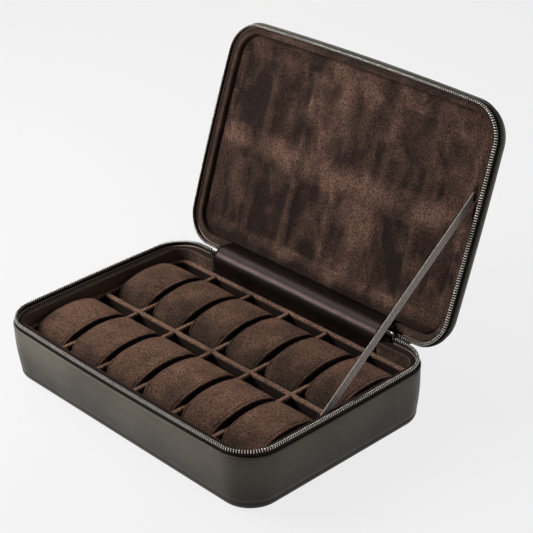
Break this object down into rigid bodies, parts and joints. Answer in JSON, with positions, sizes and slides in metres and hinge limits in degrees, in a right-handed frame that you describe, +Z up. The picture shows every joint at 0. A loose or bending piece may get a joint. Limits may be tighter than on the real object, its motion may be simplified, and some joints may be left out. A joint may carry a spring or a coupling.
{
  "type": "watch travel case",
  "caption": "Zip-round leather travel case for watches, standing open: padded hinged lid held by a ribbon stay, divided tray with loose suede watch cushions.",
  "frame": {"origin": "centre of the base's underside, on the surface that the case stands on", "axes": "+X along the long side and the hinge, to the right seen from the front; +Y from the front to the hinge side; +Z up"},
  "size_m": [0.335, 0.3186, 0.2639],
  "materials": {
    "outer_leather": "satin",
    "hinge_leather": "satin",
    "suede_lining": "matte",
    "suede_cushion": "matte",
    "board": "matte",
    "zip_tape": "matte",
    "zip_metal": "satin",
    "edge_binding": "satin",
    "stay_webbing": "matte"
  },
  "bodies": {
    "base": {"base_board": "board", "base_wrap": "outer_leather", "base_sole": "outer_leather", "base_tape": "zip_tape", "base_teeth": "zip_metal", "base_stops": "zip_metal", "base_binding": "edge_binding", "base_liner": "suede_lining", "base_back_panel": "hinge_leather", "tray_floor": "suede_lining", "tray_frame": "suede_lining", "long_divider": "suede_lining", "cross_dividers": "suede_lining", "slider": "zip_metal", "base_stay_patch": "suede_lining", "stay_ribbon": "stay_webbing", "hinge_gusset": "hinge_leather", "hinge_spine": "outer_leather"},
    "lid": {"lid_board": "board", "lid_wrap": "outer_leather", "lid_top": "outer_leather", "lid_tape": "zip_tape", "lid_teeth": "zip_metal", "lid_stops": "zip_metal", "lid_binding": "edge_binding", "lid_liner": "suede_lining", "lid_back_panel": "hinge_leather", "lid_pad": "suede_lining", "lid_stay_patch": "suede_lining"},
    "pull": {"pull_link": "zip_metal", "pull_tab": "outer_leather"},
    "seat_f1": {"cushion_f1": "suede_cushion"},
    "seat_f2": {"cushion_f2": "suede_cushion"},
    "seat_f3": {"cushion_f3": "suede_cushion"},
    "seat_f4": {"cushion_f4": "suede_cushion"},
    "seat_f5": {"cushion_f5": "suede_cushion"},
    "seat_f6": {"cushion_f6": "suede_cushion"},
    "seat_b1": {"cushion_b1": "suede_cushion"},
    "seat_b2": {"cushion_b2": "suede_cushion"},
    "seat_b3": {"cushion_b3": "suede_cushion"},
    "seat_b4": {"cushion_b4": "suede_cushion"},
    "seat_b5": {"cushion_b5": "suede_cushion"},
    "seat_b6": {"cushion_b6": "suede_cushion"}
  },
  "joints": [
    {"name": "lid_hinge", "type": "hinge", "parent": "base", "child": "lid", "pos_m": [0, 0.1113, 0.0572], "axis": [-1, 0, 0], "range_deg": [-110.6, 0], "deforming": ["hinge_gusset", "hinge_spine", "stay_ribbon"]},
    {"name": "pull_swing", "type": "hinge", "parent": "base", "child": "pull", "pos_m": [0.11335, 0.1128, 0.0587], "axis": [1, 0, 0], "range_deg": [0, 40]},
    {"name": "lift_f1", "type": "slide", "parent": "base", "child": "seat_f1", "axis": [0, 0, 1], "range_m": [0, 0.04]},
    {"name": "lift_f2", "type": "slide", "parent": "base", "child": "seat_f2", "axis": [0, 0, 1], "range_m": [0, 0.04]},
    {"name": "lift_f3", "type": "slide", "parent": "base", "child": "seat_f3", "axis": [0, 0, 1], "range_m": [0, 0.04]},
    {"name": "lift_f4", "type": "slide", "parent": "base", "child": "seat_f4", "axis": [0, 0, 1], "range_m": [0, 0.04]},
    {"name": "lift_f5", "type": "slide", "parent": "base", "child": "seat_f5", "axis": [0, 0, 1], "range_m": [0, 0.04]},
    {"name": "lift_f6", "type": "slide", "parent": "base", "child": "seat_f6", "axis": [0, 0, 1], "range_m": [0, 0.04]},
    {"name": "lift_b1", "type": "slide", "parent": "base", "child": "seat_b1", "axis": [0, 0, 1], "range_m": [0, 0.04]},
    {"name": "lift_b2", "type": "slide", "parent": "base", "child": "seat_b2", "axis": [0, 0, 1], "range_m": [0, 0.04]},
    {"name": "lift_b3", "type": "slide", "parent": "base", "child": "seat_b3", "axis": [0, 0, 1], "range_m": [0, 0.04]},
    {"name": "lift_b4", "type": "slide", "parent": "base", "child": "seat_b4", "axis": [0, 0, 1], "range_m": [0, 0.04]},
    {"name": "lift_b5", "type": "slide", "parent": "base", "child": "seat_b5", "axis": [0, 0, 1], "range_m": [0, 0.04]},
    {"name": "lift_b6", "type": "slide", "parent": "base", "child": "seat_b6", "axis": [0, 0, 1], "range_m": [0, 0.04]}
  ]
}
